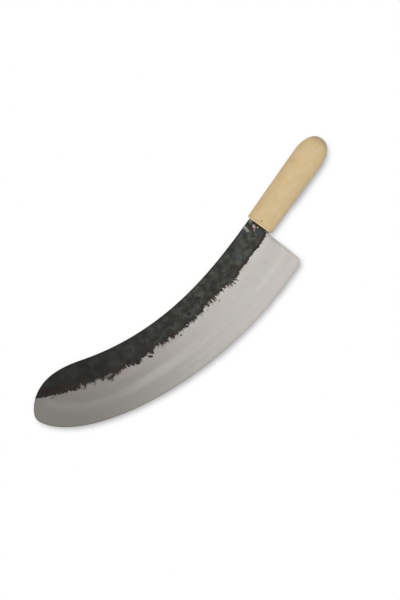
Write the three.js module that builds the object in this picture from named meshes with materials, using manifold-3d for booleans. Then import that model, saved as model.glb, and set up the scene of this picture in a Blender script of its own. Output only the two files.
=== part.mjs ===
// A forged mincing knife: a broad swept blade whose stick tang is bedded in a one-piece wooden handle and held
// there by one cross nail. The knife lies on its side as it does on a table: +X runs along the handle to the
// butt, +Y towards the spine, +Z up, with the origin under the middle of its bounding box.
import * as THREE from 'three';
import { ConvexHull } from 'three/addons/math/ConvexHull.js';
import { mergeVertices } from 'three/addons/utils/BufferGeometryUtils.js';
import Module from 'manifold-3d';

const wasm = await Module();
wasm.setup();

// Driving dimensions, in millimetres and degrees. "Ahead" counts from the handle's front face towards the tip,
// "above" from the handle's axis towards the spine, and "below" towards the edge. A pull is the length of a
// curve's control arm at its start or its end.

// Handle
const HANDLE_LENGTH = 128.2;
const HANDLE_FRONT_WIDTH = 35.2;
const HANDLE_FRONT_THICKNESS = 23;
const HANDLE_REAR_WIDTH = 37.4;
const HANDLE_REAR_THICKNESS = 27;
const BUTT_LENGTH = 31.2;
const BUTT_POWER = 2.25;
const HANDLE_CHAMFER = 2;
const OVAL_POWER = 2.4;

// Spine: a long hollow from the neck, a crown, and a nose that drops to the tip
const NECK_ABOVE = 14.4;
const HOLLOW_RUN = 253.5;
const HOLLOW_RISE = 64.8;
const HOLLOW_SLOPE = 35.4;
const HOLLOW_START_PULL = 77;
const HOLLOW_END_PULL = 106;
const CROWN_RUN = 67;
const CROWN_RISE = 18.4;
const CROWN_FALL = 16;
const CROWN_START_PULL = 34;
const CROWN_END_PULL = 20.5;
const NOSE_RUN = 22.8;
const NOSE_DROP = 15.8;
const NOSE_FALL = 48;
const NOSE_PULL = 6.2;
const TIP_ROUND = 6.3;

// Edge: round the heel's blunted corner, straight along the flat, then up the belly to the tip
const HEEL_LEAN = 2;
const HEEL_ROUND = 8.5;
const HEEL_PULL = 2.6;
const EDGE_BELOW = 66.6;
const FLAT_RUN = 33;
const BELLY_FLAT_PULL = 156;
const BELLY_TIP_PULL = 60;
const BELLY_TIP_LEAN = 8;

// Grind: the line where the ground bevel meets the black forged flat, from the neck to the end of the crown
const GRIND_BELOW = 15.4;
const GRIND_START_PULL = 112;
const GRIND_END_PULL = 112;
const GRIND_END_SLOPE = 51;

// Thickness of the forging
const HEEL_THICKNESS = 3.6;
const TIP_THICKNESS = 2.2;
const SPINE_CHAMFER = 0.4;
const EDGE_BEVEL = 1.6;
const EDGE_SHOULDER_THICKNESS = 0.5;

// Tang
const TANG_LAP = 6;
const TANG_THICKNESS = 3;
const TANG_ROOT_WIDTH = 18;
const TANG_END_WIDTH = 8;
const TANG_LENGTH = 92;

// Bedding round the tang, with a thin collar squeezed out between the blade's shoulder and the handle
const BED_WALL = 0.9;
const BED_CLEARANCE = 0.3;
const COLLAR_THICKNESS = 1.2;
const COLLAR_DEPTH = 9;
const COLLAR_INSET = 1.2;

// Cross nail
const PIN_DIAMETER = 2;
const PIN_BACK = 5.9;
const PIN_ABOVE = 1.4;
const PIN_DOME = 0.25;
const PIN_CLEARANCE = 0.15;

// Grams per cubic millimetre, for the balance that settles how the knife lies
const STEEL = 0.00785;
const HARDWOOD = 0.0007;
const RESIN = 0.0011;

// Facets
const BLADE_STATION_COUNT = 90;
const BLADE_END_RATIO = 0.994;
const OVAL_POINT_COUNT = 36;
const BUTT_RING_COUNT = 9;
const BUTT_LAST_ANGLE = 84;
const PIN_POINT_COUNT = 20;
const PIN_DOME_POINT_COUNT = 4;

// Places worked out from the sizes above
const SHOULDER_AHEAD = COLLAR_THICKNESS + 2 * BED_CLEARANCE;
const HEEL_AHEAD = SHOULDER_AHEAD + HEEL_LEAN;
const HEEL_TOP = plan(SHOULDER_AHEAD, NECK_ABOVE);
const HOLLOW_END = plan(SHOULDER_AHEAD + HOLLOW_RUN, NECK_ABOVE + HOLLOW_RISE);
const CROWN_END = plan(SHOULDER_AHEAD + HOLLOW_RUN + CROWN_RUN, NECK_ABOVE + HOLLOW_RISE + CROWN_RISE);
const TIP_AHEAD = SHOULDER_AHEAD + HOLLOW_RUN + CROWN_RUN + NOSE_RUN;
const TIP = plan(TIP_AHEAD, NECK_ABOVE + HOLLOW_RISE + CROWN_RISE - NOSE_DROP);
const BODY_END = HANDLE_LENGTH - BUTT_LENGTH;

// A point of the blade's plan
function plan(ahead, above) {
  return new THREE.Vector2(-ahead, above);
}

// The direction in the blade's plan that climbs by an angle while it runs ahead
function heading(climb) {
  const angle = THREE.MathUtils.degToRad(climb);
  return plan(Math.cos(angle), Math.sin(angle));
}

// The point that lies a distance from another along a direction
function along(point, direction, distance) {
  return point.clone().addScaledVector(direction, distance);
}

// A curve that leaves one point and reaches another in set directions
function sweep(start, startHeading, startPull, end, endHeading, endPull) {
  const leave = along(start, startHeading, startPull);
  const arrive = along(end, endHeading, -endPull);
  return new THREE.CubicBezierCurve(start, leave, arrive, end);
}

// One chain of curves, walked by the share of its length
function chain(...curves) {
  const path = new THREE.CurvePath();
  curves.forEach((curve) => path.add(curve));
  return path;
}

// A point of the blade's plan raised to a height over its middle plane
function raise(point, height) {
  return new THREE.Vector3(point.x, point.y, height);
}

// A row of rings with equal counts of points becomes a closed geometry with a cap at both ends
function loft(rings) {
  const count = rings[0].length;
  const positions = rings.flat().flatMap((point) => [point.x, point.y, point.z]);
  const corners = [];
  for (let ring = 0; ring < rings.length - 1; ring += 1) {
    for (let point = 0; point < count; point += 1) {
      const next = (point + 1) % count;
      const near = ring * count;
      const far = near + count;
      corners.push(near + point, near + next, far + point);
      corners.push(near + next, far + next, far + point);
    }
  }
  const last = (rings.length - 1) * count;
  for (let point = 1; point < count - 1; point += 1) {
    corners.push(0, point + 1, point);
    corners.push(last, last + point, last + point + 1);
  }
  const geometry = new THREE.BufferGeometry();
  geometry.setAttribute('position', new THREE.Float32BufferAttribute(positions, 3));
  geometry.setIndex(corners);
  return geometry;
}

// A closed geometry as a solid that can be joined and cut
function solid(geometry) {
  geometry.deleteAttribute('normal');
  geometry.deleteAttribute('uv');
  const merged = mergeVertices(geometry);
  const vertProperties = merged.attributes.position.array;
  const triVerts = new Uint32Array(merged.index.array);
  return new wasm.Manifold(new wasm.Mesh({ numProp: 3, vertProperties, triVerts }));
}

// A solid as a geometry again
function shape(body) {
  const mesh = body.getMesh();
  const geometry = new THREE.BufferGeometry();
  geometry.setAttribute('position', new THREE.BufferAttribute(mesh.vertProperties, 3));
  geometry.setIndex(new THREE.BufferAttribute(mesh.triVerts, 1));
  geometry.computeVertexNormals();
  return geometry;
}

// Blade

// Half the forging's thickness at a point of its plan: both flats are planes that close in towards the tip
function forgedHalf(point) {
  const share = -point.x / TIP_AHEAD;
  return THREE.MathUtils.lerp(HEEL_THICKNESS, TIP_THICKNESS, share) / 2;
}

function bladeChains() {
  const ahead = heading(0);
  const hollowHeading = heading(HOLLOW_SLOPE);
  const crownHeading = heading(-CROWN_FALL);
  const crownBack = heading(180 - CROWN_FALL);
  const noseBack = heading(180 - NOSE_FALL);
  const bellyHeading = heading(90 - BELLY_TIP_LEAN);
  const tipFromNose = along(TIP, noseBack, TIP_ROUND);
  const tipToBelly = along(TIP, bellyHeading, -TIP_ROUND);
  const heelLow = plan(HEEL_AHEAD, HEEL_ROUND - EDGE_BELOW);
  const flatStart = plan(HEEL_AHEAD + HEEL_ROUND, -EDGE_BELOW);
  const flatEnd = plan(HEEL_AHEAD + FLAT_RUN, -EDGE_BELOW);
  const spine = chain(
    sweep(HEEL_TOP, ahead, HOLLOW_START_PULL, HOLLOW_END, hollowHeading, HOLLOW_END_PULL),
    sweep(HOLLOW_END, hollowHeading, CROWN_START_PULL, CROWN_END, crownHeading, CROWN_END_PULL),
  );
  const edge = chain(
    sweep(heelLow, heading(-90), HEEL_PULL, flatStart, ahead, HEEL_PULL),
    new THREE.LineCurve(flatStart, flatEnd),
    sweep(flatEnd, ahead, BELLY_FLAT_PULL, tipToBelly, bellyHeading, BELLY_TIP_PULL),
    new THREE.QuadraticBezierCurve(tipToBelly, TIP, tipFromNose),
    sweep(tipFromNose, noseBack, NOSE_PULL, CROWN_END, crownBack, NOSE_PULL),
  );
  const grindStart = plan(SHOULDER_AHEAD, -GRIND_BELOW);
  const grindEnd = heading(GRIND_END_SLOPE);
  const grind = chain(sweep(grindStart, ahead, GRIND_START_PULL, CROWN_END, grindEnd, GRIND_END_PULL));
  return { spine, edge, grind };
}

// One section across the blade: top flat, spine wall, bottom flat, and the two bevels that meet at the edge
function bladeSection(chains, share) {
  const spine = chains.spine.getPoint(share * BLADE_END_RATIO);
  const edge = chains.edge.getPoint(share * BLADE_END_RATIO);
  const grind = chains.grind.getPoint(share);
  const spineInset = along(spine, grind.clone().sub(spine).normalize(), SPINE_CHAMFER);
  const bevel = along(edge, grind.clone().sub(edge).normalize(), EDGE_BEVEL);
  const flat = forgedHalf(spineInset);
  const shoulder = forgedHalf(grind);
  const wall = forgedHalf(spine) - SPINE_CHAMFER;
  const bevelHalf = EDGE_SHOULDER_THICKNESS / 2;
  return [
    raise(grind, shoulder),
    raise(spineInset, flat),
    raise(spine, wall),
    raise(spine, -wall),
    raise(spineInset, -flat),
    raise(grind, -shoulder),
    raise(bevel, -bevelHalf),
    raise(edge, 0),
    raise(bevel, bevelHalf),
  ];
}

// The tapered tongue of the tang, or the space round it when it is grown on every side
function tongueSolid(start, grow) {
  const rings = [start, TANG_LENGTH + grow].map((x) => {
    const width = THREE.MathUtils.mapLinear(x, 0, TANG_LENGTH, TANG_ROOT_WIDTH, TANG_END_WIDTH);
    const y = width / 2 + grow;
    const z = TANG_THICKNESS / 2 + grow;
    const corners = [[y, -z], [y, z], [-y, z], [-y, -z]];
    return corners.map(([side, height]) => new THREE.Vector3(x, side, height));
  });
  return solid(loft(rings));
}

// The hole that the nail passes through
function pinHoleSolid() {
  const radius = PIN_DIAMETER / 2 + PIN_CLEARANCE;
  const hole = new THREE.CylinderGeometry(radius, radius, 2 * HANDLE_REAR_THICKNESS, PIN_POINT_COUNT);
  hole.rotateX(Math.PI / 2);
  hole.translate(PIN_BACK, PIN_ABOVE, 0);
  return solid(hole);
}

function bladeGeometry() {
  const chains = bladeChains();
  const rings = [];
  for (let station = 0; station <= BLADE_STATION_COUNT; station += 1) {
    const share = (1 - Math.cos((Math.PI * station) / BLADE_STATION_COUNT)) / 2;
    rings.push(bladeSection(chains, share));
  }
  const tang = tongueSolid(-SHOULDER_AHEAD - TANG_LAP, 0);
  return shape(solid(loft(rings)).add(tang).subtract(pinHoleSolid()));
}

// Handle

// A flattened oval across the handle
function ovalRing(x, halfWidth, halfThickness, above = 0) {
  const bend = (value) => Math.sign(value) * Math.abs(value) ** (2 / OVAL_POWER);
  const ring = [];
  for (let point = 0; point < OVAL_POINT_COUNT; point += 1) {
    const angle = (2 * Math.PI * (point + 0.5)) / OVAL_POINT_COUNT;
    const y = above + halfWidth * bend(Math.cos(angle));
    ring.push(new THREE.Vector3(x, y, halfThickness * bend(Math.sin(angle))));
  }
  return ring;
}

function handleGeometry() {
  const frontWidth = HANDLE_FRONT_WIDTH / 2;
  const frontThickness = HANDLE_FRONT_THICKNESS / 2;
  const rings = [
    ovalRing(0, frontWidth - HANDLE_CHAMFER, frontThickness - HANDLE_CHAMFER),
    ovalRing(HANDLE_CHAMFER, frontWidth, frontThickness),
  ];
  const lastAngle = THREE.MathUtils.degToRad(BUTT_LAST_ANGLE);
  for (let ring = 0; ring <= BUTT_RING_COUNT; ring += 1) {
    const angle = (lastAngle * ring) / BUTT_RING_COUNT;
    const x = BODY_END + BUTT_LENGTH * (Math.sin(angle) / Math.sin(lastAngle)) ** (2 / BUTT_POWER);
    const size = Math.cos(angle) ** (2 / BUTT_POWER) / 2;
    rings.push(ovalRing(x, HANDLE_REAR_WIDTH * size, HANDLE_REAR_THICKNESS * size));
  }
  const mortise = tongueSolid(-HANDLE_CHAMFER, BED_WALL + 2 * BED_CLEARANCE);
  return shape(solid(loft(rings)).subtract(mortise).subtract(pinHoleSolid()));
}

// Tang bedding

function beddingGeometry() {
  const front = BED_CLEARANCE - SHOULDER_AHEAD;
  const above = NECK_ABOVE - COLLAR_INSET;
  const below = HANDLE_CHAMFER + COLLAR_INSET - HANDLE_FRONT_WIDTH / 2;
  const middle = (above + below) / 2;
  const halfWidth = (above - below) / 2;
  const collar = solid(loft([
    ovalRing(front, halfWidth, COLLAR_DEPTH / 2, middle),
    ovalRing(front + COLLAR_THICKNESS, halfWidth, COLLAR_DEPTH / 2, middle),
  ]));
  const sleeve = tongueSolid(front, BED_WALL + BED_CLEARANCE);
  const tangSpace = tongueSolid(-SHOULDER_AHEAD, BED_CLEARANCE);
  return shape(collar.add(sleeve).subtract(tangSpace).subtract(pinHoleSolid()));
}

// Cross nail, cut flush with the wood and slightly domed at both ends

function pinGeometry() {
  const share = (PIN_BACK - HANDLE_CHAMFER) / (BODY_END - HANDLE_CHAMFER);
  const flush = THREE.MathUtils.lerp(HANDLE_FRONT_THICKNESS, HANDLE_REAR_THICKNESS, share) / 2;
  const radius = PIN_DIAMETER / 2;
  const rim = flush - PIN_DOME;
  const dome = new THREE.EllipseCurve(0, rim, radius, PIN_DOME, 0, Math.PI / 2);
  const upper = dome.getPoints(PIN_DOME_POINT_COUNT);
  const lower = upper.map((point) => new THREE.Vector2(point.x, -point.y)).reverse();
  upper[upper.length - 1].x = 0;
  lower[0].x = 0;
  const pin = new THREE.LatheGeometry([...lower, ...upper], PIN_POINT_COUNT);
  pin.rotateX(Math.PI / 2);
  pin.translate(PIN_BACK, PIN_ABOVE, 0);
  return pin;
}

// Assembly, in the blade's own plane

const knife = new THREE.Group();

function addPiece(name, geometry, density, color, roughness, metalness) {
  const piece = new THREE.Mesh(geometry, new THREE.MeshStandardMaterial({ color, roughness, metalness }));
  piece.name = name;
  piece.userData.density = density;
  knife.add(piece);
}

addPiece('blade', bladeGeometry(), STEEL, '#9c9893', 0.4, 1);
addPiece('handle', handleGeometry(), HARDWOOD, '#d2b98f', 0.6, 0);
addPiece('tang_bedding', beddingGeometry(), RESIN, '#3b3220', 0.4, 0);
addPiece('tang_pin', pinGeometry(), STEEL, '#8d7757', 0.5, 1);

// The corners of each triangle of a piece, in turn
function triangles(piece) {
  const { position } = piece.geometry.attributes;
  const { index } = piece.geometry;
  const list = [];
  const place = (corner) => new THREE.Vector3().fromBufferAttribute(position, index.getX(corner));
  for (let corner = 0; corner < index.count; corner += 3) {
    list.push([place(corner), place(corner + 1), place(corner + 2)]);
  }
  return list;
}

// The knife's centre of mass, from the wedges that the triangles span with the origin
function balance() {
  const centre = new THREE.Vector3();
  let mass = 0;
  knife.children.forEach((piece) => {
    triangles(piece).forEach(([a, b, c]) => {
      const share = (piece.userData.density * a.dot(b.clone().cross(c))) / 6;
      mass += share;
      centre.addScaledVector(a.clone().add(b).add(c), share / 4);
    });
  });
  return centre.divideScalar(mass);
}

// The outward normal of the hull facet, most nearly underneath, that the centre of mass holds down
function restingNormal() {
  const points = knife.children.flatMap((piece) => triangles(piece).flat());
  const centre = balance();
  const held = new ConvexHull().setFromPoints(points).faces.filter((face) => {
    const corners = [0, 1, 2].map((corner) => face.getEdge(corner).head().point);
    const foot = along(centre, face.normal, -face.distanceToPoint(centre));
    return new THREE.Triangle(...corners).containsPoint(foot);
  });
  held.sort((one, other) => one.normal.z - other.normal.z);
  return held[0].normal;
}

// Lay the knife down and put the origin under the middle of its box
knife.quaternion.setFromUnitVectors(restingNormal(), new THREE.Vector3(0, 0, -1));
const box = new THREE.Box3().setFromObject(knife, true);
const middle = box.getCenter(new THREE.Vector3());
knife.position.set(-middle.x, -middle.y, -box.min.z);

const part = new THREE.Group();
part.add(knife);

export default part;
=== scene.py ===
import math

import bpy
import numpy as np
from mathutils import Matrix, Vector, noise
from mathutils.bvhtree import BVHTree


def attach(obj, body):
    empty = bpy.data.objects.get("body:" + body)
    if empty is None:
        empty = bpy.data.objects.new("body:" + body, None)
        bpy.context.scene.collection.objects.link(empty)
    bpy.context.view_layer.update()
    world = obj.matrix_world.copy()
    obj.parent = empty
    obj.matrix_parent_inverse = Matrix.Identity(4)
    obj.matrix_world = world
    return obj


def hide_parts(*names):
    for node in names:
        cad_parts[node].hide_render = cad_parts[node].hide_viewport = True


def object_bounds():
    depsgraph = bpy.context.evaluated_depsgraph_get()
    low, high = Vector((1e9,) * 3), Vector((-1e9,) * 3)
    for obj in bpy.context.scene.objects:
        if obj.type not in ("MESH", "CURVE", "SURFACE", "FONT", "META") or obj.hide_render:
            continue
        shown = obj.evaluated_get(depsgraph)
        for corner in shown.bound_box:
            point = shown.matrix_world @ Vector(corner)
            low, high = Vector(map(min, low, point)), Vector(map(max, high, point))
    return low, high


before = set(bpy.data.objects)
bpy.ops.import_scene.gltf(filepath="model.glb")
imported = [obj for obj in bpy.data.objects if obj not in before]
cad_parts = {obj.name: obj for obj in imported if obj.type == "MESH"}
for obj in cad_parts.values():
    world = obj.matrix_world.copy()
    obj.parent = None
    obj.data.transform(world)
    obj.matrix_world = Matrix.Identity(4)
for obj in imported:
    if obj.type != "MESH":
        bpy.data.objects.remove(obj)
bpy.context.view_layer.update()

# Blade
# One steel forging, hammered out under black scale and then ground on both sides down to the edge.
# Its stick tang runs back from the shoulder into the handle, where resin and one nail hold it.


def numbers(mesh, name="position"):
    """A vector that the mesh holds for each of its points."""
    found = np.zeros(len(mesh.vertices) * 3, np.float32)
    mesh.attributes[name].data.foreach_get("vector", found)
    return found.reshape(-1, 3).astype(float)


def set_numbers(mesh, name, values):
    """Gives each point of the mesh a vector, and makes the attribute if there is none."""
    if name not in mesh.attributes:
        mesh.attributes.new(name, "FLOAT_VECTOR", "POINT")
    mesh.attributes[name].data.foreach_set("vector", np.asarray(values, np.float32).ravel())
    mesh.update()


def grid_places(mesh, columns, rows):
    """The column and the row that each point of a fresh grid stands in."""
    reach = (numbers(mesh) + 1) / 2
    return np.rint(reach[:, 0] * columns).astype(int), np.rint(reach[:, 1] * rows).astype(int)


# The bench frame of the whole knife, in millimetres: X runs back along the handle from its front face,
# Y up to the spine, and the blade's middle plane is Z = 0. The nail stands square to that plane, so its
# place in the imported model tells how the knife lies.
MILLIMETRE = 0.001
NAIL_BACK = 5.9
NAIL_ABOVE = 1.4
nail_place = Vector((NAIL_BACK, NAIL_ABOVE, 0))
nail_points = numbers(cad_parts["tang_pin"].data)
nail_middle = nail_points.mean(axis=0)
nail_end = nail_points[nail_points[:, 2] > nail_middle[2]].mean(axis=0)
turn = Vector((0, 0, 1)).rotation_difference(Vector(nail_end - nail_middle))
bench_zero = Vector(nail_middle) - MILLIMETRE * (turn @ nail_place)
lying = Matrix.LocRotScale(bench_zero, turn, Vector((MILLIMETRE, MILLIMETRE, MILLIMETRE)))


def lay_down(piece):
    """Keeps the piece's bench coordinates for its patterns, then lays it where the knife lies."""
    set_numbers(piece.data, "bench", numbers(piece.data))
    piece.data.transform(lying)
    piece.data.update()


def place(ahead, above):
    """A place in the blade's plan, ahead of the handle and above its axis."""
    return np.array([-ahead, above])


def heading(climb):
    """The direction that climbs by an angle in degrees while it runs ahead."""
    return place(math.cos(math.radians(climb)), math.sin(math.radians(climb)))


CURVE_STEPS = 400


def bow(start, leave, arrive, end):
    """A drawn curve between two places, with a control place for each end."""
    t = np.linspace(0, 1, CURVE_STEPS)[:, None]
    return (
        (1 - t) ** 3 * start
        + 3 * (1 - t) ** 2 * t * leave
        + 3 * (1 - t) * t**2 * arrive
        + t**3 * end
    )


def corner(start, middle, end):
    """A corner rounded between two places."""
    return bow(start, (start + 2 * middle) / 3, (end + 2 * middle) / 3, end)


def walked(curves, shares):
    """Places along curves that follow each other, by shares of their whole length."""
    line = np.concatenate(curves)
    steps = np.linalg.norm(np.diff(line, axis=0), axis=1)
    gone = np.concatenate([[0], np.cumsum(steps)])
    return np.stack([np.interp(shares * gone[-1], gone, line[:, axis]) for axis in (0, 1)], 1)


# Spine: a hollow that runs from the neck up into a crown, whose end lies over the nose
SHOULDER_AHEAD = 1.8
NECK_ABOVE = 14.4
HOLLOW_RUN = 253.5
HOLLOW_RISE = 64.8
HOLLOW_SLOPE = 35.4
HOLLOW_START_PULL = 77
HOLLOW_END_PULL = 106
CROWN_RUN = 67
CROWN_RISE = 18.4
CROWN_FALL = 16
CROWN_START_PULL = 34
CROWN_END_PULL = 20.5
ahead = heading(0)
hollow_way = heading(HOLLOW_SLOPE)
crown_way = heading(-CROWN_FALL)
neck = place(SHOULDER_AHEAD, NECK_ABOVE)
hollow_end = neck + place(HOLLOW_RUN, HOLLOW_RISE)
hollow_leave = neck + HOLLOW_START_PULL * ahead
hollow_arrive = hollow_end - HOLLOW_END_PULL * hollow_way
crown_end = hollow_end + place(CROWN_RUN, CROWN_RISE)
crown_leave = hollow_end + CROWN_START_PULL * hollow_way
crown_arrive = crown_end - CROWN_END_PULL * crown_way
spine_curves = [
    bow(neck, hollow_leave, hollow_arrive, hollow_end),
    bow(hollow_end, crown_leave, crown_arrive, crown_end),
]

# Edge: round the blunted heel, straight along the flat, up the belly, round the tip and over the nose
HEEL_LEAN = 2
HEEL_ROUND = 8.5
HEEL_PULL = 4.5
EDGE_BELOW = 66.6
FLAT_RUN = 33
BELLY_FLAT_PULL = 156
BELLY_TIP_PULL = 60
BELLY_TIP_LEAN = 8
TIP_ROUND = 6.3
NOSE_RUN = 22.8
NOSE_DROP = 15.8
NOSE_FALL = 48
NOSE_PULL = 6.2
heel_ahead = SHOULDER_AHEAD + HEEL_LEAN
heel_low = place(heel_ahead, HEEL_ROUND - EDGE_BELOW)
heel_leave = heel_low - place(0, HEEL_PULL)
flat_start = place(heel_ahead + HEEL_ROUND, -EDGE_BELOW)
flat_end = place(heel_ahead + FLAT_RUN, -EDGE_BELOW)
belly_way = heading(90 - BELLY_TIP_LEAN)
nose_way = heading(-NOSE_FALL)
tip = crown_end + place(NOSE_RUN, -NOSE_DROP)
belly_end = tip - TIP_ROUND * belly_way
nose_start = tip - TIP_ROUND * nose_way
belly_leave = flat_end + BELLY_FLAT_PULL * ahead
belly_arrive = belly_end - BELLY_TIP_PULL * belly_way
edge_curves = [
    bow(heel_low, heel_leave, flat_start - HEEL_PULL * ahead, flat_start),
    np.array([flat_start, flat_end]),
    bow(flat_end, belly_leave, belly_arrive, belly_end),
    corner(belly_end, tip, nose_start),
    bow(nose_start, nose_start - NOSE_PULL * nose_way, crown_end + NOSE_PULL * crown_way, crown_end),
]

# Grind line: where the ground bevel would end on an even forging, from the shoulder to the crown's end
GRIND_BELOW = 15.4
GRIND_PULL = 112
GRIND_END_SLOPE = 51
grind_start = place(SHOULDER_AHEAD, -GRIND_BELOW)
grind_arrive = crown_end - GRIND_PULL * heading(GRIND_END_SLOPE)
grind_curves = [bow(grind_start, grind_start + GRIND_PULL * ahead, grind_arrive, crown_end)]

# A sheet of columns from spine to edge; its first rows and columns lie close together, for rounded rims
COLUMNS = 480
SKIN_ROWS = 36
GRIND_ROWS = 46
LAST_SHARE = 0.994
EDGE_BEVEL = 1.6
MOST_BEVEL = 0.5
BEVEL_HALF = 0.25
EDGE_HALF = 0.02
RIM = 0.45
RIM_STEPS = (0, RIM / 4, RIM)
edge_length = LAST_SHARE * np.linalg.norm(np.diff(np.concatenate(edge_curves), axis=0), axis=1).sum()
shares = np.linspace(0, 1, COLUMNS + 1)
shares[:len(RIM_STEPS)] = np.array(RIM_STEPS) / edge_length
spine = walked(spine_curves, shares * LAST_SHARE)
edge = walked(edge_curves, shares * LAST_SHARE)
grind = walked(grind_curves, shares)
skin_width = np.linalg.norm(grind - spine, axis=1)
grind_width = np.linalg.norm(grind - edge, axis=1)
bevel_share = np.minimum(EDGE_BEVEL / grind_width, MOST_BEVEL)
row_shares = [np.full(COLUMNS + 1, number / SKIN_ROWS) for number in range(SKIN_ROWS)]
for number, step in enumerate(RIM_STEPS):
    row_shares[number] = np.minimum(step / skin_width, row_shares[number])
for number in range(GRIND_ROWS + 1):
    row_shares.append(1 + (1 - bevel_share) * number / GRIND_ROWS)
row_shares.append(np.full(COLUMNS + 1, 2.0))
row_shares = np.array(row_shares)
over_skin = np.minimum(row_shares, 1)
over_grind = np.maximum(row_shares - 1, 0)
sheet = spine + (grind - spine) * over_skin[:, :, None] + (edge - grind) * over_grind[:, :, None]
from_spine = skin_width * over_skin + grind_width * over_grind
from_edge = skin_width + grind_width - from_spine
along = np.broadcast_to(shares * edge_length, from_edge.shape)

# Thickness: the flats close in towards the tip, and the ground bevel slopes down to the edge
HEEL_HALF = 1.8
TIP_HALF = 1.1
forged_flat = HEEL_HALF + (TIP_HALF - HEEL_HALF) * sheet[:, :, 0] / tip[0]
slope = (forged_flat[SKIN_ROWS] - BEVEL_HALF) / (grind_width * (1 - bevel_share))
ground = BEVEL_HALF + slope * (from_edge - grind_width * bevel_share)
ground[-1] = EDGE_HALF

# Where the grinding ran out on the side that shows: the turns of the black's lower line, X and Y
BLACK_TURNS = [
    (-2, -11.4), (-6, -13.8), (-21, -14.6), (-32, -12.7), (-45, -13.8), (-53, -12.7), (-73, -13.6),
    (-84, -12), (-100, -8.2), (-108, -6.6), (-125, -5.4), (-140, -4.8), (-144, 0), (-154, 2),
    (-162, 1.6), (-173, 7), (-185, 11), (-190, 14), (-198.5, 14.8), (-201, 19.2), (-216, 19.6),
    (-223, 24), (-227, 30), (-240, 32.5), (-253, 36), (-263, 50.5), (-271, 52.7), (-277.5, 58.8),
    (-287.5, 62.2), (-294, 69.6), (-304, 75), (-308, 80.6), (-323, 95),
]
black_reaches = []
for turning in BLACK_TURNS:
    nearest = np.linalg.norm(sheet - turning, axis=2).argmin()
    on_row, on_column = np.unravel_index(nearest, from_edge.shape)
    black_reaches.append((shares[on_column], grind_width[on_column] - from_edge[on_row, on_column]))

# On the hidden side the same line runs end for end and upside down, so that the two sides differ
hidden_reaches = [(1 - share, -reach) for share, reach in reversed(black_reaches)]

# The forged surface under the scale: hammer blows that fade at the grind line, and layers of fine pits
BLOW_COUNT = 150
BLOW_RADIUS = (5.5, 9.5)
BLOW_DEPTH = (0.04, 0.11)
BLOW_ROWS = SKIN_ROWS + 6
PIT_SIZE = 3.2
PIT_DEPTH = 0.03
PIT_WEAKER = 1
PIT_FINER = 2
PIT_LAYERS = 3
LINE_WIDTH = 9
LINE_CALM = 0.8


def hammered(seed, reaches):
    """How far blows, pits and the lows that the grinding missed lie under the even forged flat."""
    draw = np.random.default_rng(seed)
    blows = np.zeros(from_edge.shape)
    for _ in range(BLOW_COUNT):
        middle = sheet[draw.integers(BLOW_ROWS), draw.integers(COLUMNS)]
        spread = np.sum((sheet - middle) ** 2, axis=2) / draw.uniform(*BLOW_RADIUS) ** 2
        blows = np.maximum(blows, draw.uniform(*BLOW_DEPTH) * np.clip(1 - spread, 0, 1))
    spots = [Vector((x, y, seed)) for x, y in (sheet / PIT_SIZE).reshape(-1, 2)]
    pits = np.array([noise.fractal(spot, PIT_WEAKER, PIT_FINER, PIT_LAYERS) for spot in spots])
    near_line = np.exp(-((from_edge - grind_width) / LINE_WIDTH) ** 2)
    missed = slope * np.interp(shares, *np.transpose(reaches)) * near_line
    return (blows + PIT_DEPTH * pits.reshape(blows.shape)) * (1 - LINE_CALM * near_line) + missed


def rounded(distance):
    """How far a rounded rim falls away at a distance from its end."""
    inside = np.clip(RIM - distance, 0, RIM)
    return RIM - np.sqrt(RIM**2 - inside**2)


# The tang runs on from the middle of the shoulder, which is flat and has no rounded rim there
TANG_ROOT_WIDTH = 18
TANG_END_WIDTH = 8
TANG_THICKNESS = 3
TANG_LENGTH = 92
LEAST_RIM = 0.55
beside_tang = np.abs(sheet[:, :, 1]) > TANG_ROOT_WIDTH / 2


def cheek(seed, reaches):
    """One cheek's height over the middle plane, and the depth of its forging under the grinding."""
    forged = forged_flat - hammered(seed, reaches)
    height = np.minimum(ground, forged)
    rims = rounded(from_spine) + rounded(along) * beside_tang
    surface = np.maximum(height - rims, LEAST_RIM * height)
    surface[(along == 0) & ~beside_tang] = HEEL_HALF
    return surface, ground - forged


# Two sheets, one for each cheek, joined all round by a wall
bpy.ops.object.select_all(action="DESELECT")
last_row = len(row_shares) - 1
bpy.ops.mesh.primitive_grid_add(x_subdivisions=COLUMNS, y_subdivisions=last_row, size=2)
blade = bpy.context.object
blade.name = "forged_blade"
in_column, in_row = grid_places(blade.data, COLUMNS, last_row)
bpy.ops.object.mode_set(mode="EDIT")
bpy.ops.mesh.select_all(action="SELECT")
bpy.ops.mesh.duplicate()
bpy.ops.mesh.flip_normals()
bpy.ops.object.mode_set(mode="OBJECT")

points = []
lays = []
for side, seed, reaches in ((1, 3, black_reaches), (-1, 8, hidden_reaches)):
    height, depth = cheek(seed, reaches)
    points.append(np.column_stack([sheet[in_row, in_column], side * height[in_row, in_column]]))
    lays.append(np.column_stack([values[in_row, in_column] for values in (along, from_edge, depth)]))
set_numbers(blade.data, "position", np.concatenate(points))
set_numbers(blade.data, "lay", np.concatenate(lays))
set_numbers(blade.data, "spine", np.tile(from_spine[in_row, in_column][:, None], (2, 3)))

bpy.ops.object.mode_set(mode="EDIT")
bpy.ops.mesh.select_mode(type="EDGE")
bpy.ops.mesh.select_non_manifold(
    extend=False,
    use_wire=False,
    use_boundary=True,
    use_multi_face=False,
    use_non_contiguous=False,
    use_verts=False,
)
bpy.ops.mesh.bridge_edge_loops()
bpy.ops.mesh.select_all(action="DESELECT")
bpy.ops.object.mode_set(mode="OBJECT")

# A face looks along an axis if this share of its normal does
FACING = 0.95

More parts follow.
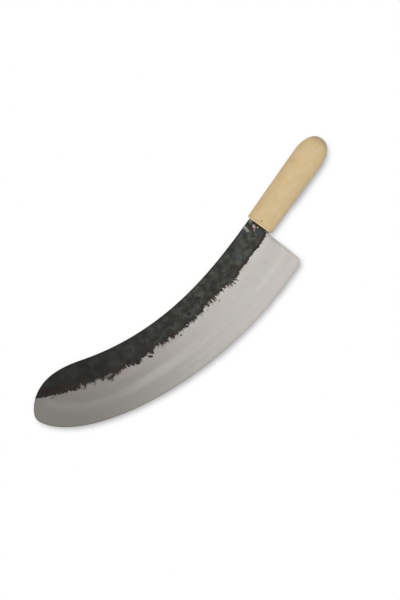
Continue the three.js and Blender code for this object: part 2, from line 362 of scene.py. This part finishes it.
# The tang, drawn out of the shoulder's wall: a little more wall than it needs is picked, then narrowed
picked_half = 0
for face in blade.data.polygons:
    sides = [abs(blade.data.vertices[number].co.y) for number in face.vertices]
    face.select = face.normal.x > FACING and min(sides) < TANG_ROOT_WIDTH / 2
    if face.select:
        picked_half = max(picked_half, *sides)
bpy.ops.object.mode_set(mode="EDIT")
bpy.ops.mesh.select_mode(type="FACE")
bpy.ops.mesh.extrude_region_move()
bpy.ops.transform.resize(
    value=(1, TANG_ROOT_WIDTH / (2 * picked_half), TANG_THICKNESS / (2 * HEEL_HALF)),
    center_override=(-SHOULDER_AHEAD, 0, 0),
)
bpy.ops.mesh.extrude_region_move(TRANSFORM_OT_translate={"value": (SHOULDER_AHEAD + TANG_LENGTH, 0, 0)})
bpy.ops.transform.resize(
    value=(0, TANG_END_WIDTH / TANG_ROOT_WIDTH, 1), center_override=(TANG_LENGTH, 0, 0)
)
bpy.ops.object.mode_set(mode="OBJECT")

# The hole for the nail
NAIL_RADIUS = 1.0
NAIL_CLEARANCE = 0.15
NAIL_SIDES = 32
DRILL_LENGTH = 40
STEEL_CREASE = 5


def combine(piece, shape, operation):
    """Cuts a shape out of a piece, or joins it to the piece, and removes the shape."""
    change = piece.modifiers.new("combine", "BOOLEAN")
    change.operation = operation
    change.solver = "EXACT"
    change.object = shape
    bpy.context.view_layer.objects.active = piece
    bpy.ops.object.modifier_apply(modifier=change.name)
    bpy.data.objects.remove(shape)


def drill():
    """The cylinder that makes the nail's hole through everything."""
    bpy.ops.mesh.primitive_cylinder_add(
        vertices=NAIL_SIDES,
        radius=NAIL_RADIUS + NAIL_CLEARANCE,
        depth=DRILL_LENGTH,
        location=nail_place,
    )
    return bpy.context.object


def smooth(piece, angle):
    """Shades a piece smooth, apart from edges that are sharper than an angle in degrees."""
    bpy.ops.object.select_all(action="DESELECT")
    bpy.context.view_layer.objects.active = piece
    piece.select_set(True)
    bpy.ops.object.shade_smooth_by_angle(angle=math.radians(angle))


combine(blade, drill(), "DIFFERENCE")
smooth(blade, STEEL_CREASE)
lay_down(blade)

# A spot of colour is full in its core and gone at its end, and stays on one side of the blade
SPOT_CORE = 0.7
SPOT_END = 1.2
SPOT_DEPTH = 100
SIDE_BLEND = 0.1


class Wire:
    """A socket in a material that takes part in sums: each sum adds a Math node to that material."""

    def __init__(self, tree, socket=None):
        self.tree = tree
        self.socket = socket

    def node(self, kind, settings, sockets, output):
        """Adds any node: its settings first, then the values or wires of its sockets."""
        made = self.tree.nodes.new(kind)
        for name, value in settings.items():
            setattr(made, name, value)
        for name, value in sockets.items():
            socket = next(s for s in made.inputs if s.enabled and name in (s.identifier, s.name))
            if isinstance(value, Wire):
                self.tree.links.new(value.socket, socket)
            else:
                socket.default_value = value
        found = next(s for s in made.outputs if s.enabled and output in (s.identifier, s.name))
        return Wire(self.tree, found)

    def math(self, operation, *values):
        """Adds a Math node."""
        sockets = dict(zip(("Value", "Value_001", "Value_002"), values))
        return self.node("ShaderNodeMath", {"operation": operation}, sockets, "Value")

    def __add__(self, other):
        return self.math("ADD", self, other)

    def __radd__(self, other):
        return self.math("ADD", other, self)

    def __sub__(self, other):
        return self.math("SUBTRACT", self, other)

    def __rsub__(self, other):
        return self.math("SUBTRACT", other, self)

    def __mul__(self, other):
        return self.math("MULTIPLY", self, other)

    def __rmul__(self, other):
        return self.math("MULTIPLY", other, self)

    def attribute(self, name):
        """A vector that the mesh holds for each of its points."""
        return self.node("ShaderNodeAttribute", {"attribute_name": name}, {}, "Vector")

    def part(self, axis):
        """One coordinate of a vector."""
        return self.node("ShaderNodeSeparateXYZ", {}, {"Vector": self}, axis)

    def rise(self, low, high):
        """0 under low and 1 over high, with a smooth climb between."""
        sockets = {"Value": self, "From Min": low, "From Max": high, "To Min": 0.0, "To Max": 1.0}
        return self.node("ShaderNodeMapRange", {"interpolation_type": "SMOOTHSTEP"}, sockets, "Result")

    def length(self):
        """How long a vector is."""
        return self.node("ShaderNodeVectorMath", {"operation": "LENGTH"}, {"Vector": self}, "Value")

    def grain(self, size, detail=2.0):
        """Noise about 0.5, of a size along each axis."""
        sockets = {"Vector": self, "Vector_001": size}
        sized = self.node("ShaderNodeVectorMath", {"operation": "DIVIDE"}, sockets, "Vector")
        sockets = {"Vector": sized, "Scale": 1.0, "Detail": detail}
        return self.node("ShaderNodeTexNoise", {}, sockets, "Fac")

    def spot(self, x, y, long, wide, angle, ragged):
        """1 in a ragged oval on the cheek that shows, 0 outside; long runs at an angle to X."""
        sockets = {
            "Vector": self,
            "Location": (x, y, 0),
            "Rotation": (0, 0, math.radians(angle)),
            "Scale": (long, wide, SPOT_DEPTH),
        }
        inside = self.node("ShaderNodeMapping", {"vector_type": "TEXTURE"}, sockets, "Vector")
        oval = 1 - (inside.length() + ragged).rise(SPOT_CORE, SPOT_END)
        return oval * self.part("Z").rise(-SIDE_BLEND, SIDE_BLEND)

    def tint(self, under, over):
        """One colour, or another where this value is 1."""
        sockets = {"Factor_Float": self, "A_Color": under, "B_Color": over}
        return self.node("ShaderNodeMix", {"data_type": "RGBA"}, sockets, "Result_Color")

    def bump(self):
        """The normal of a surface whose relief is this height in metres."""
        sockets = {"Strength": 1.0, "Distance": 1.0, "Height": self}
        return self.node("ShaderNodeBump", {}, sockets, "Normal")


def colour(code):
    """A colour as a screen shows it, such as #d2b98f, as the light that a shader takes."""
    parts = [int(code[at:at + 2], 16) / 255 for at in (1, 3, 5)]
    return (*[p / 12.92 if p <= 0.04045 else ((p + 0.055) / 1.055) ** 2.4 for p in parts], 1.0)


def new_material(name):
    """A material with its shader, and a wire to start from."""
    made = bpy.data.materials.new(name)
    made.use_nodes = True
    return made, made.node_tree.nodes["Principled BSDF"], Wire(made.node_tree)


def feed(shader, sockets):
    """Links wires to a shader's sockets by name, and sets the plain values."""
    for name, value in sockets.items():
        if isinstance(value, Wire):
            value.tree.links.new(value.socket, shader.inputs[name])
        else:
            shader.inputs[name].default_value = value


steel, steel_shader, start = new_material("black_scale_and_ground_steel")
lay = start.attribute("lay")
bench = start.attribute("bench")
from_heel = lay.part("X")
over_edge = lay.part("Y")
under_spine = start.attribute("spine").part("X")
crumbs = bench.grain((1.4, 1.4, 1.4)) - 0.5

# The ragged line: lumps, hairs where the wheel ran out, and islands of scale that it left
ISLANDS = [
    (-203, 14.2, 2.8, 1.5, -60),
    (-161, -0.8, 1.3, 1.0, 0),
    (-148, -0.8, 2.2, 1.2, -50),
    (-77.3, -15.0, 2.4, 0.6, -80),
    (-73.2, -16.0, 3.4, 0.7, -85),
    (-68.6, -15.6, 3.4, 0.7, -73),
]
past_neck = from_heel.rise(64, 90)
lumps = bench.grain((5.5, 5.5, 5.5), 3.0) - 0.5
hairs = lay.grain((1.5, 12, 1), 1.0) - 0.5
hairy = lay.grain((19, 90, 1), 1.0).rise(0.45, 0.58) * past_neck
ragged = lay.part("Z") - 0.018 * past_neck
ragged = ragged + lumps * (0.08 + 0.11 * past_neck) + crumbs * (0.08 + 0.08 * past_neck)
ragged = ragged + hairs * (0.05 + 0.11 * past_neck + 0.34 * hairy)
for x, y, long, wide, angle in ISLANDS:
    ragged = ragged + bench.spot(x, y, long, wide, angle, crumbs * 2.0) * 0.3
black = ragged.rise(-0.008, 0.008)

# Black scale: lighter near the handle, partly from worn scale and partly painted light that falls off
# towards the tip, with olive, blue and brown patches
worn_and_lit = 1 - from_heel.rise(40, 360)
clouds = bench.grain((17, 17, 17), 2.0)
mottle = bench.grain((7.5, 7.5, 7.5), 2.0)
speckle = bench.grain((2.2, 2.2, 2.2), 2.0)
blue_patches = bench.grain((19, 19, 19), 2.0)
brown_patches = bench.grain((23, 23, 23), 2.0)
# Painted light: the scale's dark base grows lighter from the tip towards the handle
scale_colour = worn_and_lit.tint(colour("#171712"), colour("#31322b"))
scale_colour = (clouds.rise(0.42, 0.66) * (0.2 + 0.8 * worn_and_lit)).tint(scale_colour, colour("#454741"))
scale_colour = (mottle.rise(0.5, 0.74) * (0.1 + 0.7 * worn_and_lit)).tint(scale_colour, colour("#595b55"))
scale_colour = ((1 - mottle.rise(0.3, 0.48)) * 0.65).tint(scale_colour, colour("#12130f"))
bluish = blue_patches.rise(0.52, 0.66) * (0.15 + 0.4 * worn_and_lit)
scale_colour = bluish.tint(scale_colour, colour("#2f3238"))
scale_colour = (speckle.rise(0.52, 0.7) * 0.45).tint(scale_colour, colour("#151611"))
rusty = (1 - ragged.rise(0.05, 0.35)) * brown_patches.rise(0.44, 0.62)
scale_colour = ((1 - ragged.rise(0.02, 0.2)) * 0.55).tint(scale_colour, colour("#14130f"))
scale_colour = (rusty * 0.4).tint(scale_colour, colour("#36271f"))
# Painted shade: the scale darkens along the rounded rim of the spine
scale_colour = ((1 - under_spine.rise(0.6, 2.4)) * 0.55).tint(scale_colour, colour("#0c0c0a"))

# Ground steel: light and dull streaks along the edge, where the light band is a painted highlight, a
# bright warm strip by the scale, painted reflection that darkens towards the tip, and painted shade on
# the rims
streaks = lay.grain((120, 2.2, 1), 2.0)
bands = lay.grain((150, 13, 1), 2.0)
smudges = bench.grain((9, 9, 9), 3.0)
scratches = lay.grain((0.4, 16, 1), 2.0)
bloom = ragged.rise(-0.2, 0.0) * brown_patches.rise(0.46, 0.62)
bright = ragged.rise(-0.3, -0.05) * (1 - from_heel.rise(280, 360))
wisps = ragged.rise(-0.16, -0.02) * hairs.rise(0.02, 0.12) * (0.25 + 0.75 * hairy)
# Painted highlight: a light band along the edge, strongest at the belly and at the heel
lane = over_edge + 5 * (1 - from_heel.rise(50, 150)) + 3 * from_heel.rise(230, 300)
shine = lane.rise(18, 28) * (1 - lane.rise(29, 35)) * (0.5 + streaks)
shine_belly = from_heel.rise(170, 230) * (1 - from_heel.rise(258, 300))
shine_heel = 1 - from_heel.rise(50, 110)
dull = lane.rise(31, 36) * (1 - lane.rise(41, 49)) * from_heel.rise(180, 280)
steel_colour = (bands * 0.6 + smudges * 0.4).rise(0.38, 0.62).tint(colour("#a3a09b"), colour("#a8a39f"))
brushed = streaks.rise(0.5, 0.75) * (0.3 + 0.2 * from_heel.rise(60, 200))
steel_colour = brushed.tint(steel_colour, colour("#b6b2ae"))
steel_colour = (bright * 0.22).tint(steel_colour, colour("#c4c1bc"))
steel_colour = (bloom * 0.35).tint(steel_colour, colour("#8d7b72"))
steel_colour = (wisps * 0.55).tint(steel_colour, colour("#706c67"))
# Painted shade: the steel darkens towards the heel's rim
heel_rim_shade = 0.25 * (1 - from_heel.rise(0.5, 1.8)) + 0.35 * (1 - from_heel.rise(1.5, 8.0))
steel_colour = heel_rim_shade.tint(steel_colour, colour("#7c7873"))
# Painted reflection: the steel darkens from the heel towards the tip, and more so near the edge along
# the belly
steel_colour = from_heel.rise(75, 410).tint(steel_colour, colour("#7f7c78"))
painted_dimming = from_heel.rise(150, 400) * (1 - from_heel.rise(340, 410)) * (1 - over_edge.rise(5, 40))
steel_colour = (painted_dimming * 0.6).tint(steel_colour, colour("#74716c"))
steel_colour = (dull * 0.12).tint(steel_colour, colour("#5c5954"))
# The painted highlight band laid over the steel
gleam = shine * (0.03 + 0.1 * shine_belly + 0.055 * shine_heel)
steel_colour = gleam.tint(steel_colour, colour("#d8d5d0"))
# Painted shade on the edge bevel, where it turns away from the light, darker towards the tip
rim_shade_colour = from_heel.rise(150, 380).tint(colour("#95938f"), colour("#74716b"))
steel_colour = ((1 - over_edge.rise(1.5, 2.3)) * 0.7).tint(steel_colour, rim_shade_colour)

# Marks on the side that shows: place, size, angle, colour and strength
MARKS = [
    (-8.0, 6.4, 4.6, 3.6, 80, "#36282b", 0.8),
    (-5.6, 4.0, 3.4, 1.6, 60, "#7a6868", 0.8),
    (-4.6, 4.7, 2.2, 1.4, 70, "#bcacaa", 0.9),
    (-8.4, 1.6, 1.9, 1.0, 60, "#8f7f7e", 0.8),
    (-3.2, 0.4, 1.6, 1.1, 60, "#a39a76", 0.8),
    (-12.7, 10.6, 4.8, 1.9, 78, "#8f948d", 0.85),
    (-7.6, -4.6, 5.0, 2.4, 75, "#474f54", 0.45),
    (-3.6, 11.4, 2.2, 1.3, 60, "#636b5a", 0.8),
    (-15.5, -9.5, 7.0, 2.4, 12, "#4a413f", 0.7),
    (-11, -3.0, 3.2, 1.8, 70, "#6a6c68", 0.4),
    (-29, 3.2, 5.5, 3.2, 60, "#5c5e5a", 0.35),
    (-47, -3.5, 9.0, 4.0, 40, "#5c5e5a", 0.3),
    (-77, 0.5, 15, 4.5, -22, "#181914", 0.4),
    (-107, 1.8, 7.5, 4.5, -40, "#181914", 0.4),
    (-174, 24, 9.0, 5.0, -40, "#1a1a16", 0.4),
    (-113.7, 9.6, 3.2, 1.6, -35, "#11110d", 0.8),
    (-134.9, 6.7, 2.8, 1.8, -20, "#11110d", 0.8),
    (-305, 87, 16, 5.0, -42, "#1b1310", 0.85),
    (-256, 43, 9.5, 1.0, -62, "#33241e", 0.6),
    (-249.5, 40.7, 3.6, 1.9, -23, "#6a6661", 0.9),
    (-311.8, 80.8, 3.2, 1.6, -20, "#5f5954", 0.6),
    (-279.7, 56.3, 2.8, 1.8, -30, "#5a4f49", 0.7),
    (-237, 27, 7.5, 4.0, -60, "#9a8985", 0.45),
    (-297, 61.0, 8.0, 2.5, -35, "#877c7a", 0.35),
    (-310, 66.0, 20, 7.0, -54, "#a8a49f", 0.06),
    (-101, -13.7, 1.7, 1.3, 0, "#75615b", 0.6),
]
surface_colour = black.tint(steel_colour, scale_colour)
for x, y, long, wide, angle, code, strength in MARKS:
    mark = bench.spot(x, y, long, wide, angle, crumbs * 1.6) * strength
    surface_colour = mark.tint(surface_colour, colour(code))

relief = black * (mottle * 0.00006 + speckle * 0.00004) + (1 - black) * scratches * 0.000003
feed(steel_shader, {
    "Base Color": surface_colour,
    "Metallic": 1 - black,
    "Roughness": black * (0.18 + mottle * 0.2) + 0.28 + streaks * 0.06,
    "Normal": relief.bump(),
    "Specular IOR Level": 0.22,
})
blade.data.materials.append(steel)
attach(blade, "root")
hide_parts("blade")

# Tang bedding
# Dark resin that was poured into the mortise round the tang and squeezed out at the front.
# It has set hard there as a thin lumpy collar between the blade's shoulder and the wood.

BED_WALL = 0.9
BED_CLEARANCE = 0.3
COLLAR_FRONT = -1.5
COLLAR_BACK = -0.3
COLLAR_TOP = 14.2
COLLAR_BOTTOM = -14.4
COLLAR_DEPTH = 9
COLLAR_SIDES = 96
COLLAR_BEVEL = 0.35
COLLAR_BEVEL_STEPS = 4
COLLAR_LUMP_SIZE = 2.5
COLLAR_LUMP = 0.25
SLEEVE_INSET = 0.1
RESIN_CREASE = 40
collar_height = COLLAR_TOP - COLLAR_BOTTOM
collar_middle = ((COLLAR_FRONT + COLLAR_BACK) / 2, (COLLAR_TOP + COLLAR_BOTTOM) / 2, 0)

bpy.ops.object.select_all(action="DESELECT")
bpy.ops.mesh.primitive_cylinder_add(vertices=COLLAR_SIDES, radius=1, depth=COLLAR_BACK - COLLAR_FRONT)
bedding = bpy.context.object
bedding.name = "resin_bedding"
bpy.ops.object.mode_set(mode="EDIT")
bpy.ops.mesh.select_all(action="SELECT")
bpy.ops.transform.rotate(value=math.pi / 2, orient_axis="Y", center_override=(0, 0, 0))
bpy.ops.transform.resize(value=(1, collar_height / 2, COLLAR_DEPTH / 2), center_override=(0, 0, 0))
bpy.ops.transform.translate(value=collar_middle)
bpy.ops.mesh.select_all(action="DESELECT")
bpy.ops.object.mode_set(mode="OBJECT")
for face in bedding.data.polygons:
    face.select = abs(face.normal.x) > FACING
bpy.ops.object.mode_set(mode="EDIT")
bpy.ops.mesh.select_mode(type="FACE")
bpy.ops.mesh.bevel(offset=COLLAR_BEVEL, segments=COLLAR_BEVEL_STEPS, affect="EDGES")
bpy.ops.object.mode_set(mode="OBJECT")
beads = numbers(bedding.data)
for bead in beads:
    swell = COLLAR_LUMP * noise.noise(Vector(bead) / COLLAR_LUMP_SIZE)
    outward = bead[1:] - collar_middle[1:]
    bead[1:] += swell * outward / np.linalg.norm(outward)
set_numbers(bedding.data, "position", beads)


def tang_shape(start, grow):
    """A block in the shape of the tang, grown on every side."""
    bpy.ops.mesh.primitive_cube_add(size=2)
    block = bpy.context.object
    corners = numbers(block.data)
    reach = np.where(corners[:, 0] > 0, TANG_LENGTH + grow, start)
    width = TANG_ROOT_WIDTH + (TANG_END_WIDTH - TANG_ROOT_WIDTH) * reach / TANG_LENGTH
    set_numbers(block.data, "position", np.column_stack([
        reach,
        corners[:, 1] * (width / 2 + grow),
        corners[:, 2] * (TANG_THICKNESS / 2 + grow),
    ]))
    return block


combine(bedding, tang_shape(COLLAR_FRONT + SLEEVE_INSET, BED_WALL + BED_CLEARANCE), "UNION")
combine(bedding, tang_shape(-SHOULDER_AHEAD, BED_CLEARANCE), "DIFFERENCE")
combine(bedding, drill(), "DIFFERENCE")
smooth(bedding, RESIN_CREASE)
lay_down(bedding)

resin, resin_shader, start = new_material("set_resin")
bench = start.attribute("bench")
lumps = bench.grain((1.6, 1.6, 1.6), 3.0)
feed(resin_shader, {
    "Base Color": lumps.rise(0.35, 0.7).tint(colour("#1d170b"), colour("#352b14")),
    "Roughness": 0.45 + lumps * 0.2,
    "Normal": (lumps * 0.0001).bump(),
    "Specular IOR Level": 0.3,
})
bedding.data.materials.append(resin)
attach(bedding, "root")
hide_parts("tang_bedding")

# Handle
# One piece of pale hardwood, a flattened oval that swells a little towards a blunt domed butt.
# Its front edge is chamfered, and a blind mortise takes the tang with its bedding.

HANDLE_LENGTH = 127.3
FRONT_WIDTH = 35.2
FRONT_THICKNESS = 23
REAR_WIDTH = 37.4
REAR_THICKNESS = 27
BUTT_LENGTH = 31.2
BUTT_POWER = 2.25
OVAL_POWER = 2.4
OVAL_SIDES = 96
CHAMFER = 2
CHAMFER_TURN_BACK = 0.3
CHAMFER_TURN_IN = 0.45
BODY_STEPS = 12
BUTT_STEPS = 16
BUTT_LAST_ANGLE = 88
WOOD_CREASE = 22
body_end = HANDLE_LENGTH - BUTT_LENGTH

stations = [
    (0, FRONT_WIDTH - 2 * CHAMFER, FRONT_THICKNESS - 2 * CHAMFER),
    (
        CHAMFER_TURN_BACK * CHAMFER,
        FRONT_WIDTH - 2 * CHAMFER_TURN_IN * CHAMFER,
        FRONT_THICKNESS - 2 * CHAMFER_TURN_IN * CHAMFER,
    ),
]
for step in range(BODY_STEPS + 1):
    share = step / BODY_STEPS
    stations.append((
        CHAMFER + (body_end - CHAMFER) * share,
        FRONT_WIDTH + (REAR_WIDTH - FRONT_WIDTH) * share,
        FRONT_THICKNESS + (REAR_THICKNESS - FRONT_THICKNESS) * share,
    ))
for step in range(1, BUTT_STEPS + 1):
    angle = math.radians(BUTT_LAST_ANGLE * step / BUTT_STEPS)
    reach = math.sin(angle) ** (2 / BUTT_POWER)
    size = math.cos(angle) ** (2 / BUTT_POWER)
    stations.append((body_end + BUTT_LENGTH * reach, REAR_WIDTH * size, REAR_THICKNESS * size))

bpy.ops.object.select_all(action="DESELECT")
bpy.ops.mesh.primitive_circle_add(vertices=OVAL_SIDES, radius=1, fill_type="NOTHING")
handle = bpy.context.object
handle.name = "wooden_handle"
ring = numbers(handle.data)
oval = np.sign(ring) * np.abs(ring) ** (2 / OVAL_POWER)
last_x, last_width, last_thickness = stations[0]
set_numbers(handle.data, "position", np.column_stack([
    np.full(len(oval), last_x),
    oval[:, 0] * last_width / 2,
    oval[:, 1] * last_thickness / 2,
]))
bpy.ops.object.mode_set(mode="EDIT")
bpy.ops.mesh.select_all(action="SELECT")
bpy.ops.mesh.edge_face_add()
for x, width, thickness in stations[1:]:
    bpy.ops.mesh.extrude_region_move(TRANSFORM_OT_translate={"value": (x - last_x, 0, 0)})
    growth = (1, width / last_width, thickness / last_thickness)
    bpy.ops.transform.resize(value=growth, center_override=(x, 0, 0))
    last_x, last_width, last_thickness = x, width, thickness
bpy.ops.mesh.select_all(action="SELECT")
bpy.ops.mesh.normals_make_consistent(inside=False)
bpy.ops.object.mode_set(mode="OBJECT")
combine(handle, tang_shape(-CHAMFER, BED_WALL + 2 * BED_CLEARANCE), "DIFFERENCE")
combine(handle, drill(), "DIFFERENCE")
smooth(handle, WOOD_CREASE)
lay_down(handle)

wood, wood_shader, start = new_material("pale_hardwood")
bench = start.attribute("bench")
years = bench.grain((200, 4.0, 7.0), 3.0)
fibres = bench.grain((14, 0.5, 0.5), 2.0)
flecks = bench.grain((2.6, 0.8, 0.8), 1.0)
blush = bench.grain((14, 7, 7), 2.0)
honey = bench.grain((18, 9, 9), 2.0)
grime = bench.grain((8, 5, 5), 3.0)
wood_colour = blush.rise(0.4, 0.65).tint(colour("#cfb78b"), colour("#d4bb96"))
wood_colour = (honey.rise(0.48, 0.68) * 0.7).tint(wood_colour, colour("#d3b884"))
wood_colour = (years.rise(0.5, 0.7) * 0.25).tint(wood_colour, colour("#c3a678"))
wood_colour = (fibres.rise(0.52, 0.75) * 0.2).tint(wood_colour, colour("#b8996d"))
wood_colour = (flecks.rise(0.66, 0.78) * 0.4).tint(wood_colour, colour("#ac8d62"))
wood_colour = (grime.rise(0.56, 0.72) * 0.25).tint(wood_colour, colour("#b69c78"))

# The chamfer is lighter, a painted highlight where it catches the light, with a darker line behind it,
# and the butt darkens towards its end, partly end grain and partly painted shade
from_front = bench.part("X")
chamfer_highlight = 1 - from_front.rise(1.4, 2.2)
dark_line = from_front.rise(1.8, 2.4) * (1 - from_front.rise(2.6, 3.6))
# Painted highlight on the chamfer
wood_colour = (chamfer_highlight * 0.8).tint(wood_colour, colour("#e9d5b0"))
wood_colour = (dark_line * 0.45).tint(wood_colour, colour("#a5885c"))
# The butt darkens towards its end: partly darker end grain, partly painted shade where the dome turns
# away from the light
wood_colour = (from_front.rise(116, 126) * 0.45).tint(wood_colour, colour("#957a58"))
feed(wood_shader, {
    "Base Color": wood_colour,
    "Roughness": 0.52 + fibres * 0.14,
    "Normal": (fibres * 0.00002 + grime * 0.00004).bump(),
})
handle.data.materials.append(wood)
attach(handle, "root")
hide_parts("handle")

# Cross nail
# One thin iron nail, driven through handle, bedding and tang and then cut off.
# Both ends are filed almost flush with the wood, with a slight crown left.

NAIL_CROWN = 0.25
CROWN_INSET = 0.35
CROWN_LIFTS = (0.6, 0.4)
IRON_CREASE = 40
flush_share = (NAIL_BACK - CHAMFER) / (body_end - CHAMFER)
flush = (FRONT_THICKNESS + (REAR_THICKNESS - FRONT_THICKNESS) * flush_share) / 2

bpy.ops.object.select_all(action="DESELECT")
bpy.ops.mesh.primitive_cylinder_add(
    vertices=NAIL_SIDES, radius=NAIL_RADIUS, depth=2 * (flush - NAIL_CROWN), location=nail_place
)
nail = bpy.context.object
nail.name = "cross_nail"
bpy.ops.object.transform_apply(location=True, rotation=False, scale=False)
for end in (1, -1):
    for face in nail.data.polygons:
        face.select = face.normal.z * end > FACING
    bpy.ops.object.mode_set(mode="EDIT")
    bpy.ops.mesh.select_mode(type="FACE")
    for lift in CROWN_LIFTS:
        bpy.ops.mesh.inset(thickness=CROWN_INSET)
        bpy.ops.transform.translate(value=(0, 0, end * lift * NAIL_CROWN))
    bpy.ops.mesh.select_all(action="DESELECT")
    bpy.ops.object.mode_set(mode="OBJECT")
smooth(nail, IRON_CREASE)
lay_down(nail)

iron, iron_shader, start = new_material("filed_iron")
bench = start.attribute("bench")
tarnish = bench.grain((0.7, 0.7, 0.7))
feed(iron_shader, {
    "Base Color": tarnish.rise(0.35, 0.7).tint(colour("#b0966e"), colour("#bfa67e")),
    "Metallic": 0.3,
    "Roughness": 0.5 + tarnish * 0.2,
})
nail.data.materials.append(iron)
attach(nail, "root")
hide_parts("tang_pin")

# Floor, light and camera
# A plain white table in a white room, under two soft lamps. The knife's shade on the table is soft and
# close, and lies a little to the side that the edge is on.

WHITE = (1.0, 1.0, 1.0, 1.0)
BLACK = (0.0, 0.0, 0.0, 1.0)
TABLE_GREY = (0.9, 0.9, 0.9, 1.0)
ROOM_GREY = (0.29, 0.29, 0.29, 1.0)
TABLE_REACH = 4.0
SHADE_CELL = 0.0015
SHADE_MARGIN = 0.03
SHADE_SHIFT = Vector((-0.0005, -0.0034, 0))
SHADE_BLUR = 0.003
BLUR_CELLS = 8
SHADE_STRENGTH = 0.6

# How much of the shade falls on each point of a fine grid: the outline seen from above, then blurred
lowest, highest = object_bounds()
table_x = np.arange(lowest[0] - SHADE_MARGIN, highest[0] + SHADE_MARGIN, SHADE_CELL)
table_y = np.arange(lowest[1] - SHADE_MARGIN, highest[1] + SHADE_MARGIN, SHADE_CELL)
depsgraph = bpy.context.evaluated_depsgraph_get()
outlines = [BVHTree.FromObject(piece, depsgraph) for piece in (blade, bedding, handle)]
shade = np.zeros((len(table_y), len(table_x)))
for row, y in enumerate(table_y):
    for column, x in enumerate(table_x):
        above = Vector((x, y, 1)) - SHADE_SHIFT
        shade[row, column] = any(outline.ray_cast(above, (0, 0, -1))[3] for outline in outlines)
blur_steps = SHADE_CELL * np.arange(-BLUR_CELLS, BLUR_CELLS + 1)
blur = np.exp(-0.5 * (blur_steps / SHADE_BLUR) ** 2)
for axis in (0, 1):
    shade = np.apply_along_axis(np.convolve, axis, shade, blur / blur.sum(), "same")


def shown(start):
    """1 for what the camera sees, straight, mirrored or through glass, and 0 for light on things."""
    kinds = ("Is Camera Ray", "Is Glossy Ray", "Is Transmission Ray")
    straight, mirrored, through = [start.node("ShaderNodeLightPath", {}, {}, kind) for kind in kinds]
    return straight + mirrored + through


bpy.ops.object.select_all(action="DESELECT")
table_columns = len(table_x) - 1
table_rows = len(table_y) - 1
bpy.ops.mesh.primitive_grid_add(x_subdivisions=table_columns, y_subdivisions=table_rows, size=2)
floor = bpy.context.object
floor.name = "table"
in_column, in_row = grid_places(floor.data, table_columns, table_rows)

# The outermost points of the grid reach out to the ends of the table
for line in (table_x, table_y):
    line[[0, -1]] = -TABLE_REACH, TABLE_REACH
set_numbers(floor.data, "position", np.column_stack([table_x[in_column], table_y[in_row], 0 * in_row]))
set_numbers(floor.data, "shade", np.tile(shade[in_row, in_column][:, None], 3))
table_top, table_shader, start = new_material("white_table")
shaded = start.attribute("shade").part("X")
seen = shown(start)
feed(table_shader, {
    "Base Color": seen.tint(TABLE_GREY, BLACK),
    "Roughness": 0.9,
    "Specular IOR Level": 0.0,
    "Emission Color": (seen * (1 - shaded * SHADE_STRENGTH)).tint(BLACK, WHITE),
    "Emission Strength": 1.0,
})
floor.data.materials.append(table_top)


def soft_box(name, at, aim, size, power, mirrored):
    """A square soft lamp that faces a place, and that shiny things mirror or not."""
    bpy.ops.object.light_add(type="AREA", location=at)
    lamp = bpy.context.object
    lamp.name = name
    lamp.rotation_euler = (Vector(aim) - Vector(at)).to_track_quat("-Z", "Y").to_euler()
    lamp.data.size = size
    lamp.data.energy = power
    lamp.visible_glossy = mirrored


soft_box("lamp_overhead", at=(0.12, 0.1, 1.3), aim=(0, 0, 0), size=0.6, power=10.6, mirrored=False)
soft_box(
    "lamp_before_edge", at=(0.28, -0.5, 1.2), aim=(0.1, -0.05, 0), size=1.1, power=2.2, mirrored=True
)

room = bpy.data.worlds.new("studio")
room.use_nodes = True
bpy.context.scene.world = room
feed(room.node_tree.nodes["Background"], {"Color": shown(Wire(room.node_tree)).tint(ROOM_GREY, WHITE)})

# The camera looks straight down on a place on the blade, with the knife laid across its view
VIEW_PLACE = Vector((-113.6, 5.5, 0))
CAMERA_HEIGHT = 2.5
CAMERA_TURN = -54.32
VIEW_LENGTH = 0.7169
SENSOR = 36
view_point = lying @ VIEW_PLACE + Vector((0, 0, CAMERA_HEIGHT))
bpy.ops.object.camera_add(location=view_point, rotation=(0, 0, math.radians(CAMERA_TURN)))
camera = bpy.context.object
camera.data.sensor_width = SENSOR
camera.data.lens = SENSOR * CAMERA_HEIGHT / VIEW_LENGTH
bpy.context.scene.camera = camera
bpy.context.scene.view_settings.view_transform = "Standard"
